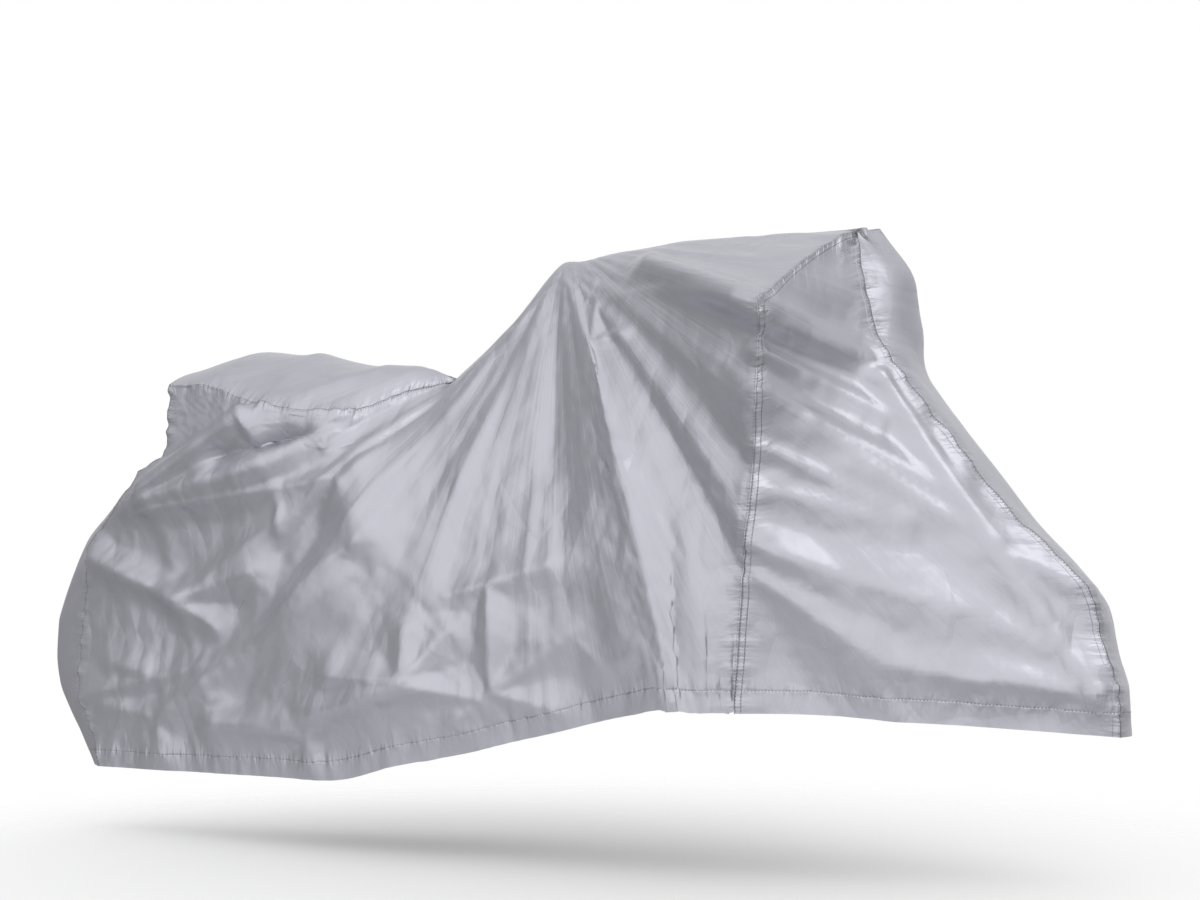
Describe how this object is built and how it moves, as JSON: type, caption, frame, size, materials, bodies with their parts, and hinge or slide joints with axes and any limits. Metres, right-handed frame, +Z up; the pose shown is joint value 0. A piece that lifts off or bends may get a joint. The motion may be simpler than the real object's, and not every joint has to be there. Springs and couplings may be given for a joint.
{
  "type": "bicycle cover",
  "caption": "Fitted rain and dust cover for one bicycle, silver-grey coated film, hung over the handlebar, saddle and rear carrier with a level hem.",
  "frame": {"origin": "under the top of the cover at the peak that the bicycle's saddle holds up", "axes": "+X towards the front wheel's end, -Y to the near side, +Z up"},
  "size_m": [2.0507, 0.5433, 0.8999],
  "materials": {
    "film": "semi-gloss silver-grey coated film"
  },
  "bodies": {
    "root": {"cover_body": "film", "front_side_near": "film", "front_side_far": "film", "front_strip": "film", "rear_strip": "film"}
  },
  "joints": []
}
